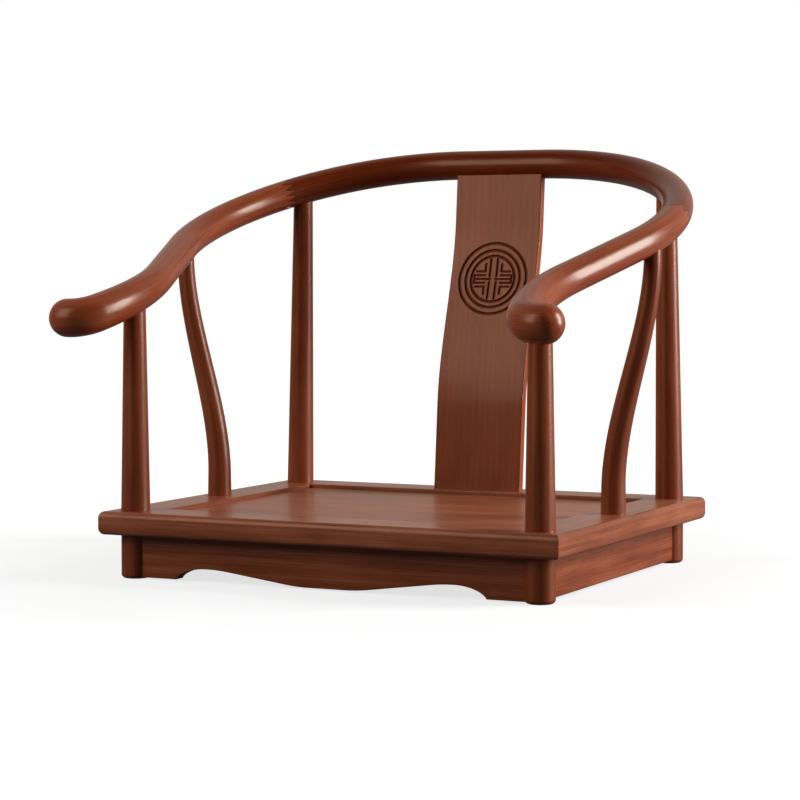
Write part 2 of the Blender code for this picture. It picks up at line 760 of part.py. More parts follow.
def seat_panel(carrier):
    half_x = OPENING_X - GAP
    half_y = OPENING_Y - GAP
    levels = (
        (PANEL_BOTTOM, 0.0),
        (TONGUE_BOTTOM, 0.0),
        (TONGUE_BOTTOM, TONGUE_LENGTH),
        (TONGUE_TOP, TONGUE_LENGTH),
        (TONGUE_TOP, 0.0),
        (PANEL_TOP, 0.0),
    )
    corners = ((-1, -1), (1, -1), (1, 1), (-1, 1))
    rings = [[(a * (half_x + out), b * (half_y + out), z) for a, b in corners] for z, out in levels]
    panel = loft("seat_panel", rings)
    through = OPENING_Y + TONGUE_LENGTH + OVERLAP
    for side in SIDES.values():
        cut(panel, batten_key("slot", side * BATTEN_SPACING / 2, through, GAP))
    finish(panel, carrier)


def panel_batten(word, side, carrier):
    x = side * BATTEN_SPACING / 2
    half = BATTEN_WIDTH / 2
    reach = OPENING_Y - GAP
    top = PANEL_BOTTOM - GAP
    low = (x - half, -reach, top - BATTEN_HEIGHT)
    batten = block(f"panel_batten_{word}", low, (x + half, reach, top))
    join(batten, batten_key("key", x, reach - GAP, 0.0))
    for end in ENDS:
        join(batten, batten_tenons("tenon", x, end, 0.0))
    finish(batten, carrier, WOOD_HIDDEN)


def mitre_dowel(end, word, side, carrier):
    dowel = dowel_rod(f"mitre_dowel_{end}_{word}", side, end, 0.0)
    finish(dowel, carrier, WOOD_HIDDEN)


# Assembly


def main():
    for old in list(bpy.data.objects):
        bpy.data.objects.remove(old)
    chair = bpy.data.objects.new("chair", None)
    bpy.context.scene.collection.objects.link(chair)
    rail_pieces = [crest_back(chair)]
    for word, side in SIDES.items():
        rail_pieces.append(crest_arm(word, side, chair))
        side_post(word, side, chair)
        panel_batten(word, side, chair)
        for end in ENDS:
            corner_post(end, word, side, chair)
            mitre_dowel(end, word, side, chair)
    back_splat(chair)
    for apron in APRONS:
        apron_piece(apron, chair)
    seat_frame(chair)
    seat_panel(chair)
    depths = [vertex.co.y for piece in rail_pieces for vertex in piece.data.vertices]
    chair.location.y = -(min(depths) + max(depths)) / 2


main()
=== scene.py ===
"""Looks of the floor chair: fine surfaces over its solids, lacquered wood, a pale studio and the camera.

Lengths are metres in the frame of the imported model: +Z is up and the sitter faces -Y. A station is a
distance along the crest rail from the middle of its back, negative on the left.
"""

import math

import bmesh
import bpy
import numpy as np
from mathutils import Matrix, Vector


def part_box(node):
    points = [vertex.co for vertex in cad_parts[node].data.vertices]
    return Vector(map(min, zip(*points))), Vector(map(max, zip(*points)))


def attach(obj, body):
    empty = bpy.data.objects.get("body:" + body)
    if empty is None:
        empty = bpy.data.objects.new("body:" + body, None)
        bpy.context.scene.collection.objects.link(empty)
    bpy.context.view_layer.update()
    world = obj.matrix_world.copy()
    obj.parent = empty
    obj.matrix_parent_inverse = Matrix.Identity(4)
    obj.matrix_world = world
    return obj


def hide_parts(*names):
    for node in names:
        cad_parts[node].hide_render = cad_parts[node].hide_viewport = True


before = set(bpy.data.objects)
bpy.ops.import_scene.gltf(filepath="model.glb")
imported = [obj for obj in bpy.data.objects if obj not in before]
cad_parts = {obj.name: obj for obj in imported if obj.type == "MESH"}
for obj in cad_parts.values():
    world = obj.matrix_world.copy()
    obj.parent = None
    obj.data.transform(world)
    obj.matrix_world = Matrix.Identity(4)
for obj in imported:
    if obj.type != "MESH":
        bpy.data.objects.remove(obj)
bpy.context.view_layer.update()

# Places read from the solids
FRONT_RAIL_LOW, FRONT_RAIL_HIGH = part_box("seat_front_rail")
BACK_RAIL_LOW, BACK_RAIL_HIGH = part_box("seat_back_rail")
RIGHT_RAIL_LOW, RIGHT_RAIL_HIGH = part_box("seat_right_rail")
PANEL_LOW, PANEL_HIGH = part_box("seat_panel")
FRONT_POST_LOW, FRONT_POST_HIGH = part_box("front_post_right")
BACK_POST_LOW, BACK_POST_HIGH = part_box("back_post_right")
FRONT_APRON_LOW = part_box("front_apron")[0]
SIDE_APRON_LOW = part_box("right_apron")[0]
SPLAT_LOW, SPLAT_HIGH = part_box("back_splat")
SEAT_TOP = FRONT_RAIL_HIGH.z
FRAME_BOTTOM = FRONT_RAIL_LOW.z
MIDDLE_Y = (FRONT_RAIL_LOW.y + BACK_RAIL_HIGH.y) / 2
OPENING_X = RIGHT_RAIL_LOW.x
OPENING_Y = BACK_RAIL_LOW.y - MIDDLE_Y
FRAME_RAIL_WIDTH = RIGHT_RAIL_HIGH.x - RIGHT_RAIL_LOW.x
POST_X = (FRONT_POST_LOW.x + FRONT_POST_HIGH.x) / 2
POST_RADIUS = (FRONT_POST_HIGH.x - FRONT_POST_LOW.x) / 2
FRONT_POST_Y = (FRONT_POST_LOW.y + FRONT_POST_HIGH.y) / 2
BACK_POST_Y = (BACK_POST_LOW.y + BACK_POST_HIGH.y) / 2
SPLAT_WIDTH = SPLAT_HIGH.x - SPLAT_LOW.x

# Crest rail
BACK_HALF = 0.057
CROWN_RADIUS = 0.296
CROWN_TURN = math.radians(21.0)
BOW_RADIUS = 0.238
BOW_TURN = math.radians(86.0)
ARM_LENGTH = 0.1235
SWEEP_RADIUS = 0.2005
SWEEP_TURN = math.radians(38.5)
HOOK_RADIUS = 0.028
HOOK_TURN = math.radians(73.0)
SEAT_TO_BACK = 0.2835
RAIL_RISE = 0.3253
RAIL_SLOPE = 0.313
CROWN_LIFT = 0.0106
RAIL_RADIUS = 0.0190
GRIP_RADIUS = 0.0228
SWELL_LENGTH = 0.190
GRIP_DOME = 0.022
RAIL_RUNS = (
    (BACK_HALF, 0.0),
    (CROWN_RADIUS * CROWN_TURN, CROWN_TURN),
    (BOW_RADIUS * BOW_TURN, BOW_TURN),
    (ARM_LENGTH, 0.0),
    (SWEEP_RADIUS * SWEEP_TURN, -SWEEP_TURN),
    (HOOK_RADIUS * HOOK_TURN, -HOOK_TURN),
)
RAIL_HALF = sum(length for length, turn in RAIL_RUNS)
JOINTS = {"left": 0.305, "right": 0.420}
FINGER_LENGTH = 0.012
FINGER_PITCH = 0.0075
FINGER_TIP = 0.0008
FINGER_GAP = 0.0011

# Posts
POST_TOPS = {"front": (0.0130, 0.002), "back": (0.0125, 0.0055)}  # radius, and outset from the rail
LEG_CORNER = 0.0170
FOOT_ROUND = 0.0050
SIDE_POST_BASE_RADIUS = 0.015
SIDE_POST_TOP_RADIUS = 0.010
SIDE_POST_INSET = 0.0290
SIDE_POST_Y = -0.0035
SIDE_POST_OUTSET = 0.005
SIDE_BEND_START = 0.030
SIDE_TOP_STRAIGHT = 0.020

# Splat and its carving
SPLAT_THICKNESS = 0.012
SPLAT_ROUND = 0.0015
SPLAT_INSET = 0.0405
SPLAT_SETBACK = 0.006
SPLAT_BEND = 0.0375
SPLAT_BEND_START = 0.110
SPLAT_BEND_END = 0.350
SPLAT_BENT = 0.70  # share of the bend that the grain follows
MEDALLION_HEIGHT = 0.274  # its middle, above the seat
MEDALLION_RADIUS = 0.0475
GROOVE_WIDTH = 0.0029
STROKE_WIDTH = 0.0021
GROOVE_DEPTH = 0.0020
GROOVE_EDGE = 0.0011
GROOVE_RINGS = (1.0, 0.81, 0.65)  # shares of the medallion's radius
FRET = (  # strokes of one quarter, in shares of the medallion's radius
    ((0.10, 0.08), (0.10, 0.56)),
    ((0.24, 0.43), (0.24, 0.22)),
    ((0.24, 0.22), (0.50, 0.22)),
    ((0.08, 0.0), (0.56, 0.0)),
    ((0.24, 0.11), (0.56, 0.11)),
    ((0.56, 0.0), (0.56, 0.11)),
)

# Seat frame and aprons
NOSING = 0.006
NOSING_ROUND = 0.008
LIP_ROUND = 0.0012
MITRE_SETBACK = 0.0004
PANEL_GAP = 0.0004
CUSP_FOOT = 0.044
CUSP_RUN = 0.040
CUSP_HEIGHT = 0.0141
CUSP_EASE = 1.35
FALL_EASE = 0.22
BELLY_WIDTH = 0.0474
BOARD_ROUND = 0.0010
APRON_HOLD = 0.006  # how far an apron runs into a leg

# Fineness of the surfaces
RAIL_SIDES = 72
RAIL_STEP = 0.008
RAIL_TURN_STEP = math.radians(2.0)
RAIL_MERGE = 0.001
RAIL_PROBE = 0.0005
RAIL_HALVINGS = 40
DOME_STEPS = 14
POST_SIDES = 56
SIDE_POST_STEPS = 60
SIDE_POST_PROBE = 0.01
FOOT_STEPS = 5
SPLAT_STEP = 0.005
CARVING_STEP = 0.00045
CARVING_MARGIN = 0.002
SPLAT_BACK_STEPS = 16
ROUND_STEPS = 4
NOSING_STEPS = 12
CUSP_STEPS = 20
FALL_STEPS = 30
EDGE_STEPS = 60
SOFT_STEPS = 3
SHARP_ANGLE = math.radians(38.0)

SIDES = {"left": -1, "right": 1}
POST_YS = {"front": FRONT_POST_Y, "back": BACK_POST_Y}
UP = Vector((0, 0, 1))
ACROSS = Vector((1, 0, 0))
WHITE = (1.0, 1.0, 1.0)
ORDER = {node: index for index, node in enumerate(sorted(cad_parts))}


# Modelling helpers


def smooth_step(share):
    share = np.clip(share, 0.0, 1.0)
    return share * share * (3.0 - 2.0 * share)


def eased(share, ease):
    """A straight climb from 0 to 1, bent level over this share of it at either end."""
    steepness = 1 / (1 - ease)
    if share > 0.5:
        return 1 - eased(1 - share, ease)
    if share > ease:
        return steepness * (share - ease / 2)
    return steepness * share * share / (2 * ease)


def loft(rings, tip=None):
    """A closed surface through rings of equal count, ended flat or in a point."""
    bm = bmesh.new()
    loops = [[bm.verts.new(point) for point in ring] for ring in rings]
    count = len(loops[0])
    for low, high in zip(loops, loops[1:]):
        for i in range(count):
            j = (i + 1) % count
            bm.faces.new((low[i], low[j], high[j], high[i]))
    bm.faces.new(loops[0])
    if tip is None:
        bm.faces.new(loops[-1])
    else:
        end = bm.verts.new(tip)
        for i in range(count):
            bm.faces.new((loops[-1][i], loops[-1][(i + 1) % count], end))
    bmesh.ops.recalc_face_normals(bm, faces=bm.faces)
    return bm


def soften(bm, width):
    """Rounds the sharp edges of a board."""
    edges = [e for e in bm.edges if len(e.link_faces) == 2 and e.calc_face_angle() > SHARP_ANGLE]
    bmesh.ops.bevel(
        bm,
        geom=edges,
        offset=width,
        segments=SOFT_STEPS,
        profile=0.5,
        affect="EDGES",
        clamp_overlap=True,
    )


def piece_of(bm, name):
    mesh = bpy.data.meshes.new(name)
    bm.to_mesh(mesh)
    bm.free()
    piece = bpy.data.objects.new(name, mesh)
    bpy.context.scene.collection.objects.link(piece)
    return piece


def block(name, low, high):
    plan = ((low[0], low[1]), (high[0], low[1]), (high[0], high[1]), (low[0], high[1]))
    return piece_of(loft([[(x, y, z) for x, y in plan] for z in (low[2], high[2])]), name)


def ring(centre, along, across, radius, sides):
    first = (across - along * across.dot(along)).normalized()
    second = along.cross(first)
    turns = [2 * math.pi * i / sides for i in range(sides)]
    return [centre + (first * math.cos(a) + second * math.sin(a)) * radius for a in turns]


def combine(piece, tool, operation):
    modifier = piece.modifiers.new(operation, "BOOLEAN")
    modifier.operation = operation
    modifier.solver = "EXACT"
    modifier.object = tool
    view = bpy.context.evaluated_depsgraph_get()
    before = piece.data
    piece.data = bpy.data.meshes.new_from_object(piece.evaluated_get(view))
    piece.modifiers.clear()
    bpy.data.meshes.remove(before)
    bpy.data.objects.remove(tool)


def straight_grain(along, across):
    """Grain that runs along one direction: each point's place along, across and square to both."""
    axes = np.array([along, across, along.cross(across)]).T

    def measure(points):
        return points @ axes

    return measure


def curved_grain(samples):
    """Grain that follows a line given by (distance, centre, along, across) samples."""
    distances = np.array([sample[0] for sample in samples])
    centres = np.array([sample[1] for sample in samples])
    alongs = np.array([sample[2] for sample in samples])
    acrosses = np.array([sample[3] for sample in samples])

    def measure(points):
        nearest = np.array([np.argmin(((centres - point) ** 2).sum(1)) for point in points])
        offsets = points - centres[nearest]
        along = alongs[nearest]
        across = acrosses[nearest]
        square = np.cross(along, across)
        return np.stack(
            [
                distances[nearest] + (offsets * along).sum(1),
                (offsets * across).sum(1),
                (offsets * square).sum(1),
            ],
            axis=1,
        )

    return measure


def dress(piece, node, material, grain):
    """Gives a surface its grain, finish and shading, and puts it in the place of its solid."""
    points = np.empty(len(piece.data.vertices) * 3)
    piece.data.vertices.foreach_get("co", points)
    places = grain(points.reshape(-1, 3)) + heart_offset(ORDER[node])
    attribute = piece.data.attributes.new("grain", "FLOAT_VECTOR", "POINT")
    attribute.data.foreach_set("vector", places.astype(np.float32).ravel())
    piece.data.materials.clear()
    piece.data.materials.append(material)
    piece.data.shade_smooth()
    piece.data.set_sharp_from_angle(angle=SHARP_ANGLE)
    shading = piece.modifiers.new("even shading", "WEIGHTED_NORMAL")
    shading.keep_sharp = True
    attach(piece, "root")
    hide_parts(node)


# Line of the crest rail


def rail_plan(distance):
    """Place in plan at a distance along the right half of the rail, from the middle of the seat."""
    x, y, heading = 0.0, SEAT_TO_BACK, 0.0
    for length, turn in RAIL_RUNS:
        run = min(distance, length)
        bend = turn * run / length
        chord = run * math.sin(bend / 2) / (bend / 2) if bend else run
        x += chord * math.cos(heading + bend / 2)
        y -= chord * math.sin(heading + bend / 2)
        heading += bend
        distance -= run
    return x, y


def rail_centre(station):
    x, y = rail_plan(abs(station))
    lift = CROWN_LIFT * (max(y, 0.0) / SEAT_TO_BACK) ** 2
    return Vector((math.copysign(x, station), y + MIDDLE_Y, SEAT_TOP + RAIL_RISE + RAIL_SLOPE * y + lift))


def rail_along(station):
    ahead = rail_centre(min(station + RAIL_PROBE, RAIL_HALF))
    behind = rail_centre(max(station - RAIL_PROBE, -RAIL_HALF))
    return (ahead - behind).normalized()


def rail_ring(station):
    swell = smooth_step((abs(station) - RAIL_HALF + SWELL_LENGTH) / SWELL_LENGTH)
    radius = RAIL_RADIUS + (GRIP_RADIUS - RAIL_RADIUS) * swell
    along = rail_along(station)
    return ring(rail_centre(station), along, along.cross(UP), radius, RAIL_SIDES)


def rail_stations(start, end):
    half = [0.0]
    for length, turn in RAIL_RUNS:
        count = max(math.ceil(length / RAIL_STEP), math.ceil(abs(turn) / RAIL_TURN_STEP))
        half += [half[-1] + length * i / count for i in range(1, count + 1)]
    every = [-station for station in half[:0:-1]] + half
    inner = [station for station in every if start + RAIL_MERGE < station < end - RAIL_MERGE]
    return [start, *inner, end]


def station_at(y):
    """Station of the right half above a line across the chair, found by halving."""
    near, far = 0.0, RAIL_HALF - HOOK_RADIUS * HOOK_TURN
    for _ in range(RAIL_HALVINGS):
        middle = (near + far) / 2
        if rail_plan(middle)[1] + MIDDLE_Y > y:
            near = middle
        else:
            far = middle
    return near


def post_top(side, y, outset):
    return rail_centre(side * station_at(y)) + Vector((side * outset, 0, 0))


# Crest rail


def rail_grain():
    stations = rail_stations(-RAIL_HALF, RAIL_HALF)
    samples = []
    for station in stations:
        along = rail_along(station)
        samples.append((station, rail_centre(station), along, along.cross(UP).normalized()))
    return curved_grain(samples)


def finger_block(station, facing, shift):
    """A block whose toothed face lies across the rail, covering the rail on one side of it."""
    along = rail_along(station)
    across = along.cross(UP).normalized()
    up = across.cross(along)
    centre = rail_centre(station) + along * shift
    half = math.ceil(2 * RAIL_RADIUS / FINGER_PITCH) * FINGER_PITCH
    teeth = round(4 * half / FINGER_PITCH)
    outline = []
    for i in range(teeth + 1):
        height = -half + i * FINGER_PITCH / 2
        reach = FINGER_LENGTH / 2 if i % 2 else -FINGER_LENGTH / 2
        outline.append((reach, height - FINGER_TIP / 2))
        outline.append((reach, height + FINGER_TIP / 2))
    far = facing * half
    outline += [(far, half + FINGER_TIP), (far, -half - FINGER_TIP)]
    near_side = [centre + along * a + up * u - across * half for a, u in outline]
    return piece_of(loft([near_side, [point + across * 2 * half for point in near_side]]), "teeth")


def crest_back(material):
    stations = rail_stations(-JOINTS["left"] - FINGER_LENGTH, JOINTS["right"] + FINGER_LENGTH)
    back = piece_of(loft([rail_ring(station) for station in stations]), "crest_rail_back_wood")
    combine(back, finger_block(JOINTS["right"], 1, 0.0), "DIFFERENCE")
    combine(back, finger_block(-JOINTS["left"], -1, 0.0), "DIFFERENCE")
    dress(back, "crest_rail_back", material, rail_grain())


def crest_arm(word, side, material):
    joint = JOINTS[word]
    rings = [rail_ring(side * station) for station in rail_stations(joint - FINGER_LENGTH, RAIL_HALF)]
    along = rail_along(side * RAIL_HALF) * side
    centre = rail_centre(side * RAIL_HALF)
    spokes = [point - centre for point in rings[-1]]
    for i in range(1, DOME_STEPS):
        a = math.pi / 2 * i / DOME_STEPS
        middle = centre + along * GRIP_DOME * math.sin(a)
        rings.append([middle + spoke * math.cos(a) for spoke in spokes])
    arm = piece_of(loft(rings, centre + along * GRIP_DOME), f"crest_rail_{word}_arm_wood")
    combine(arm, finger_block(side * joint, -side, side * FINGER_GAP), "DIFFERENCE")
    dress(arm, f"crest_rail_{word}_arm", material, rail_grain())


# Posts


def corner_post(end, word, side, material):
    y = POST_YS[end]
    top_radius, outset = POST_TOPS[end]
    foot = Vector((side * POST_X, y, 0))
    levels = []
    for i in range(FOOT_STEPS + 1):
        a = math.pi / 2 * i / FOOT_STEPS
        radius = POST_RADIUS - FOOT_ROUND * (1 - math.sin(a))
        levels.append((foot + UP * FOOT_ROUND * (1 - math.cos(a)), radius))
    levels.append((foot + UP * SEAT_TOP, POST_RADIUS))
    levels.append((post_top(side, y, outset), top_radius))
    post = piece_of(loft([ring(c, UP, ACROSS, r, POST_SIDES) for c, r in levels]), f"{end}_post_{word}_wood")
    xs = sorted((side * POST_X, side * (POST_X - LEG_CORNER)))
    ys = sorted((y, y - math.copysign(LEG_CORNER, y - MIDDLE_Y)))
    corner = block("corner", (xs[0], ys[0], FOOT_ROUND), (xs[1], ys[1], FRAME_BOTTOM))
    combine(post, corner, "UNION")
    dress(post, f"{end}_post_{word}", material, straight_grain(UP, ACROSS))


def side_post_level(side, share):
    y = MIDDLE_Y + SIDE_POST_Y
    base = Vector((side * (RIGHT_RAIL_HIGH.x - SIDE_POST_INSET), y, SEAT_TOP))
    top = post_top(side, y, SIDE_POST_OUTSET)
    whole = top.z - base.z
    height = whole * share
    bend = smooth_step((height - SIDE_BEND_START) / (whole - SIDE_BEND_START - SIDE_TOP_STRAIGHT))
    return Vector((base.x + (top.x - base.x) * bend, y, base.z + height))


def side_post(word, side, material):
    rings = []
    samples = []
    for i in range(SIDE_POST_STEPS + 1):
        share = i / SIDE_POST_STEPS
        centre = side_post_level(side, share)
        ahead = side_post_level(side, min(share + SIDE_POST_PROBE, 1.0))
        behind = side_post_level(side, max(share - SIDE_POST_PROBE, 0.0))
        along = (ahead - behind).normalized() if i else UP
        radius = SIDE_POST_BASE_RADIUS + (SIDE_POST_TOP_RADIUS - SIDE_POST_BASE_RADIUS) * share
        rings.append(ring(centre, along, ACROSS, radius, POST_SIDES))
        samples.append((centre.z, centre, along, (ACROSS - along * along.x).normalized()))
    post = piece_of(loft(rings), f"side_post_{word}_wood")
    dress(post, f"side_post_{word}", material, curved_grain(samples))


# Splat


def splat_level(height):
    """Middle of the splat at a height above the seat, and its slope towards the back."""
    top = rail_centre(0.0)
    base = BACK_RAIL_HIGH.y - SPLAT_INSET
    lean = (top.y - SPLAT_SETBACK - base - SPLAT_BEND) / (top.z - SEAT_TOP)
    span = SPLAT_BEND_END - SPLAT_BEND_START
    share = min(max((height - SPLAT_BEND_START) / span, 0.0), 1.0)
    slope = lean + SPLAT_BEND * 6 * share * (1 - share) / span
    return base + lean * height + SPLAT_BEND * smooth_step(share), slope


def distance_to_stroke(u, v, start, end):
    du, dv = end[0] - start[0], end[1] - start[1]
    share = np.clip(((u - start[0]) * du + (v - start[1]) * dv) / (du * du + dv * dv), 0.0, 1.0)
    return np.hypot(u - start[0] - share * du, v - start[1] - share * dv)


def carving_depth(x, height, slope):
    """How deep the medallion is cut at points of the splat's face."""
    u = np.abs(x) / MEDALLION_RADIUS
    v = np.abs(height - MEDALLION_HEIGHT) * math.hypot(1, slope) / MEDALLION_RADIUS
    to_ring = np.min([np.abs(np.hypot(u, v) - share) for share in GROOVE_RINGS], axis=0)
    to_stroke = np.min([distance_to_stroke(u, v, start, end) for start, end in FRET], axis=0)
    inside_ring = GROOVE_WIDTH / 2 - to_ring * MEDALLION_RADIUS
    inside_stroke = STROKE_WIDTH / 2 - to_stroke * MEDALLION_RADIUS
    wall = np.maximum(inside_ring, inside_stroke) / GROOVE_EDGE + 0.5
    return GROOVE_DEPTH * smooth_step(wall)


def splat_heights():
    whole = rail_centre(0.0).z - SEAT_TOP
    reach = MEDALLION_RADIUS + GROOVE_WIDTH + CARVING_MARGIN
    spans = (
        (0.0, MEDALLION_HEIGHT - reach, SPLAT_STEP),
        (MEDALLION_HEIGHT - reach, MEDALLION_HEIGHT + reach, CARVING_STEP),
        (MEDALLION_HEIGHT + reach, whole, SPLAT_STEP),
    )
    heights = [0.0]
    for start, end, step in spans:
        count = math.ceil((end - start) / step)
        heights += [start + (end - start) * i / count for i in range(1, count + 1)]
    return heights


def splat_outline():
    """Section of the splat, across and through it: first the points of its face, then all of them."""
    flat = SPLAT_WIDTH / 2 - SPLAT_ROUND
    deep = SPLAT_THICKNESS / 2
    face_steps = math.ceil(2 * flat / CARVING_STEP)
    face = [(-flat + 2 * flat * i / face_steps, -deep) for i in range(face_steps + 1)]
    back = [(flat - 2 * flat * i / SPLAT_BACK_STEPS, deep) for i in range(SPLAT_BACK_STEPS + 1)]
    turns = [math.pi / 2 * i / ROUND_STEPS for i in range(1, ROUND_STEPS + 1)]
    inner = deep - SPLAT_ROUND
    right = [(flat + SPLAT_ROUND * math.sin(a), -inner - SPLAT_ROUND * math.cos(a)) for a in turns]
    right += [(x, -y) for x, y in right[-1:0:-1]] + [(right[0][0], -right[0][1])]
    left = [(-x, -y) for x, y in right]
    return face, face + right + back + left


def splat_grain(points):
    """Grain that mostly follows the splat's curve, as in a board sawn close to it."""
    heights = splat_heights()
    middles = [splat_level(height)[0] for height in heights]
    shift = SPLAT_BENT * np.interp(points[:, 2] - SEAT_TOP, heights, middles)
    return np.stack([points[:, 2], points[:, 0], points[:, 1] - shift], axis=1)


def back_splat(material):
    face, outline = splat_outline()
    xs = np.array([x for x, y in outline])
    ys = np.array([y for x, y in outline])
    on_face = np.arange(len(outline)) < len(face)
    rings = []
    cuts = []
    for height in splat_heights():
        middle, slope = splat_level(height)
        cut = np.where(on_face, carving_depth(xs, height, slope), 0.0)
        cuts.append(cut)
        normal_y, normal_z = -1 / math.hypot(1, slope), slope / math.hypot(1, slope)
        y = middle + ys * math.hypot(1, slope) - normal_y * cut
        z = SEAT_TOP + height - normal_z * cut
        rings.append([Vector(point) for point in zip(xs, y, np.broadcast_to(z, xs.shape))])
    splat = piece_of(loft(rings), "back_splat_wood")
    attribute = splat.data.attributes.new("carved", "FLOAT", "POINT")
    attribute.data.foreach_set("value", np.concatenate(cuts).astype(np.float32) / GROOVE_DEPTH)
    dress(splat, "back_splat", material, splat_grain)


# Seat frame and panel


def frame_profile():
    """Section of a seat rail: distance outward from the seat opening, and height."""
    flat = FRAME_RAIL_WIDTH - NOSING
    lip = []
    for i in range(ROUND_STEPS + 1):
        a = math.pi / 2 * i / ROUND_STEPS
        lip.append((LIP_ROUND * (1 - math.cos(a)), SEAT_TOP - LIP_ROUND * (1 - math.sin(a))))
    turns = [math.pi / 2 * i / NOSING_STEPS for i in range(NOSING_STEPS + 1)]
    rounds = [(flat + NOSING * math.sin(a), NOSING_ROUND * (1 - math.cos(a))) for a in turns]
    edge = [(d, SEAT_TOP - fall) for d, fall in rounds]
    edge += [(d, FRAME_BOTTOM + rise) for d, rise in rounds[::-1]]
    return [*lip, *edge, (0, FRAME_BOTTOM)]


def seat_rail(word, opening, distance, turn, material):
    place = Matrix.Translation((0, MIDDLE_Y, 0)) @ Matrix.Rotation(turn, 4, "Z")
    rings = [
        [place @ Vector((end * (opening + d - MITRE_SETBACK), -distance - d, z)) for d, z in frame_profile()]
        for end in (-1, 1)
    ]
    rail = piece_of(loft(rings), f"seat_{word}_rail_wood")
    along = (place.to_3x3() @ ACROSS).normalized()
    dress(rail, f"seat_{word}_rail", material, straight_grain(along, UP))


def seat_panel(material):
    half_x = OPENING_X - PANEL_GAP
    half_y = OPENING_Y - PANEL_GAP
    low = (-half_x, MIDDLE_Y - half_y, PANEL_LOW.z)
    bm = bmesh.new()
    bmesh.ops.create_cube(bm, size=1.0)
    size = Vector((2 * half_x, 2 * half_y, PANEL_HIGH.z - PANEL_LOW.z))
    bmesh.ops.scale(bm, vec=size, verts=bm.verts)
    bmesh.ops.translate(bm, vec=Vector(low) + size / 2, verts=bm.verts)
    soften(bm, BOARD_ROUND)
    panel = piece_of(bm, "seat_panel_wood")
    dress(panel, "seat_panel", material, straight_grain(ACROSS, Vector((0, 1, 0))))


# Aprons


def evenly_spaced(line, count):
    """The same line, given by points at equal distances along it."""
    points = np.array(line)
    distances = np.concatenate(([0.0], np.cumsum(np.hypot(*np.diff(points, axis=0).T))))
    places = np.linspace(0.0, distances[-1], count + 1)
    columns = [np.interp(places, distances, column).tolist() for column in points.T]
    return list(zip(*columns))


def cusp_edge(length):
    """Lower edge of the front apron between its feet: a cusp beside each foot, and a belly between them."""
    foot = POST_RADIUS + CUSP_FOOT
    fall = length / 2 - foot - CUSP_RUN - BELLY_WIDTH / 2
    low = FRONT_APRON_LOW.z
    half = []
    for i in range(CUSP_STEPS + 1):
        a = math.pi / 2 * i / CUSP_STEPS
        half.append((foot + CUSP_RUN * (1 - math.cos(a)), low + CUSP_HEIGHT * math.sin(a) ** CUSP_EASE))
    for i in range(1, FALL_STEPS + 1):
        share = i / FALL_STEPS
        half.append((foot + CUSP_RUN + fall * share, low + CUSP_HEIGHT * (1 - eased(share, FALL_EASE))))
    half = evenly_spaced(half, EDGE_STEPS)
    return half + [(length - a, z) for a, z in half[::-1]]


def apron(word, start, end, outward, low, cusped, material):
    node = f"{word}_apron"
    box_low, box_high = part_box(node)
    along = (end - start).normalized()
    length = (end - start).length
    edge = cusp_edge(length) if cusped else []
    near = POST_RADIUS - APRON_HOLD
    outline = [(near, low), *edge, (length - near, low), (length - near, FRAME_BOTTOM), (near, FRAME_BOTTOM)]
    faces = sorted((box_low.dot(outward), box_high.dot(outward)))
    shift = start.dot(outward)
    rings = [
        [start + along * a + outward * (face - shift) + UP * z for a, z in outline] for face in faces
    ]
    bm = loft(rings)
    soften(bm, BOARD_ROUND)
    dress(piece_of(bm, f"{node}_wood"), node, material, straight_grain(along, UP))


def aprons(material):
    front_left = Vector((-POST_X, FRONT_POST_Y, 0))
    front_right = Vector((POST_X, FRONT_POST_Y, 0))
    back_left = Vector((-POST_X, BACK_POST_Y, 0))
    back_right = Vector((POST_X, BACK_POST_Y, 0))
    apron("front", front_left, front_right, Vector((0, -1, 0)), FRONT_APRON_LOW.z, True, material)
    apron("back", back_right, back_left, Vector((0, 1, 0)), SIDE_APRON_LOW.z, False, material)
    apron("left", back_left, front_left, Vector((-1, 0, 0)), SIDE_APRON_LOW.z, False, material)
    apron("right", front_right, back_right, Vector((1, 0, 0)), SIDE_APRON_LOW.z, False, material)


# Wood

HEART = (0.83, 0.011, 0.013)  # step of the tree's heart from one piece to the next
HEART_START = (0.0, 0.075, -0.060)
RING_SPACING = 0.0085
RING_STRETCH = 0.05  # how far a step along the grain counts for the rings
RING_WAVER = {"Distortion": 7.0, "Detail": 2.0, "Detail Scale": 0.8, "Detail Roughness": 0.55}
WAVE_PERIOD = 2 * math.pi / 20  # of a wave texture of scale 1
FIBRES = (9.0, 420.0, 4.0)  # features a metre along the grain and across it, and their detail
CLOUDS = (8.0, 32.0, 3.0)
PORES = (30.0, 1400.0, 1.0)
NOISE_ROUGHNESS = 0.6
RING_SHARE = 0.11
FIBRE_SHARE = 0.42
CLOUD_SHARE = 0.47
FIGURE_RANGE = (0.29, 0.71)  # figure of the darkest and of the lightest tone
PORE_RANGE = (0.60, 0.74)
PORE_SHADE = 0.68
WORN_RANGE = (0.50, 0.60)  # pointiness of a flat place and of a worn edge
WORN_LIGHT = 1.35
FIBRE_RANGE = (0.3, 0.7)
FIBRE_GLOSS = (-0.05, 0.07)  # change of roughness over the fibres
FIBRE_RELIEF = 0.5
RELIEF_STRENGTH = 0.10
RELIEF_DEPTH = 0.0004
CARVING_PAINTED_SHADE = (0.34, 0.20, 0.12)  # share of the colour left in the carving: painted shade, darker the deeper the cut
CARVING_DULL = 0.5
LACQUER_TINT = (1.0, 0.84, 0.68)
LACQUER_SPECULAR = 0.34
COAT = 0.14
COAT_ROUGHNESS = 0.15
